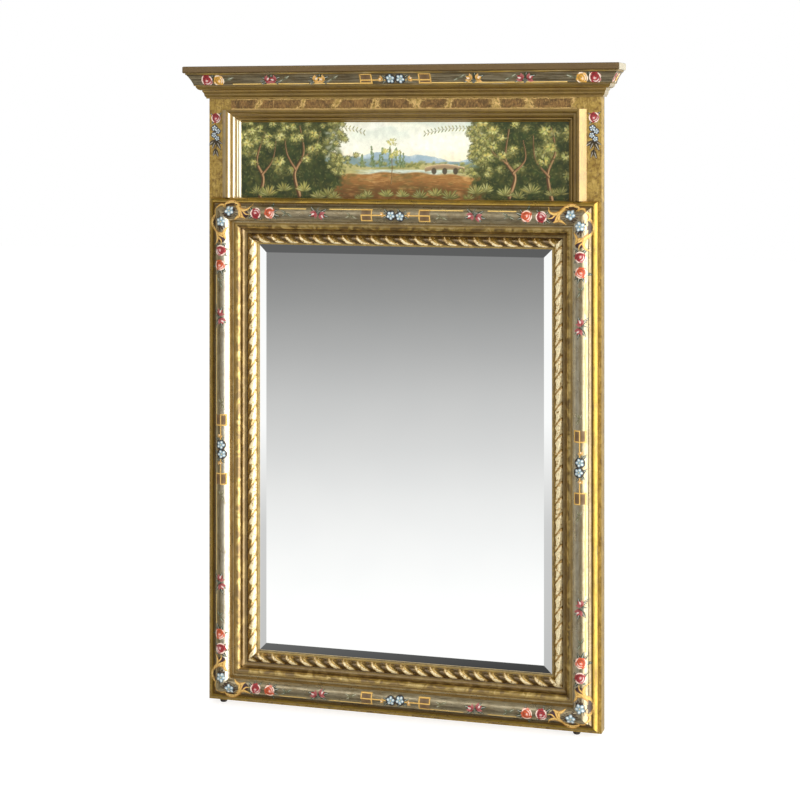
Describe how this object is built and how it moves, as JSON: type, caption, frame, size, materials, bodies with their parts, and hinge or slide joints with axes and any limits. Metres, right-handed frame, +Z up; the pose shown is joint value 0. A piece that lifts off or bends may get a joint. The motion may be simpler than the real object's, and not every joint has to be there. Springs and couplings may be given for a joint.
{
  "type": "trumeau mirror",
  "caption": "Tall wall mirror with a bevelled glass in a painted and gilt frame, a picture panel above it and a moulded cornice, hung on two rings.",
  "frame": {"origin": "bottom centre of the whole object's box: midway between the sides, midway between the wall plane and the cornice's front edge, at the level of the feet", "axes": "+Z up, +Y towards the wall, -Y the front that shows, +X to the right seen from the front"},
  "size_m": [0.916, 0.0804, 1.328],
  "materials": {
    "gilded_wood": "bronzed gold leaf over a dark ground, rubbed",
    "silver_leaf_paint": "glazed silver leaf with painted ornament",
    "gold_paint_wood": "mottled antique gold with painted ornament",
    "carcass_wood": "gilded on the faces that show, bare softwood behind",
    "batten_wood": "bare softwood",
    "mirror_glass": "silvered, ground bevel",
    "picture_paint": "oil painting on board, varnished",
    "hardboard": "smooth brown hardboard",
    "steel": "zinc plated",
    "brass_hardware": "plated",
    "rubber": "matt black"
  },
  "bodies": {
    "mirror": {"stile_left": "gold_paint_wood", "stile_right": "gold_paint_wood", "top_rail": "gold_paint_wood", "mid_rail": "carcass_wood", "bottom_rail": "carcass_wood", "painted_moulding_left": "silver_leaf_paint", "gilt_liner_left": "gilded_wood", "rope_slip_left": "gilded_wood", "picture_batten_left": "batten_wood", "painted_moulding_right": "silver_leaf_paint", "gilt_liner_right": "gilded_wood", "rope_slip_right": "gilded_wood", "picture_batten_right": "batten_wood", "painted_moulding_top": "silver_leaf_paint", "gilt_liner_top": "gilded_wood", "rope_slip_top": "gilded_wood", "picture_batten_top": "batten_wood", "painted_moulding_bottom": "silver_leaf_paint", "gilt_liner_bottom": "gilded_wood", "rope_slip_bottom": "gilded_wood", "picture_batten_bottom": "batten_wood", "mirror_glass": "mirror_glass", "mirror_backing": "hardboard", "picture_panel": "picture_paint", "picture_backing": "hardboard", "backing_clips": "steel", "clip_screws": "brass_hardware", "upper_moulding_left": "gilded_wood", "upper_moulding_right": "gilded_wood", "upper_moulding_top": "gilded_wood", "cornice_board": "gilded_wood", "board_screws": "steel", "crown_front": "silver_leaf_paint", "crown_left": "silver_leaf_paint", "crown_right": "silver_leaf_paint", "bed_moulding_front": "gilded_wood", "bed_moulding_left": "gilded_wood", "bed_moulding_right": "gilded_wood", "foot_left": "rubber", "foot_right": "rubber", "wall_bumpers": "rubber", "hanger_strap_left": "steel", "hanger_strap_right": "steel", "hanger_screws": "brass_hardware"},
    "ring_left": {"hanger_ring_left": "steel"},
    "ring_right": {"hanger_ring_right": "steel"}
  },
  "joints": [
    {"name": "ring_left_swing", "type": "hinge", "parent": "mirror", "child": "ring_left", "pos_m": [-0.3905, 0.03705, 1.099], "axis": [1, 0, 0], "range_deg": [0, 180]},
    {"name": "ring_right_swing", "type": "hinge", "parent": "mirror", "child": "ring_right", "pos_m": [0.3905, 0.03705, 1.099], "axis": [1, 0, 0], "range_deg": [0, 180]}
  ]
}
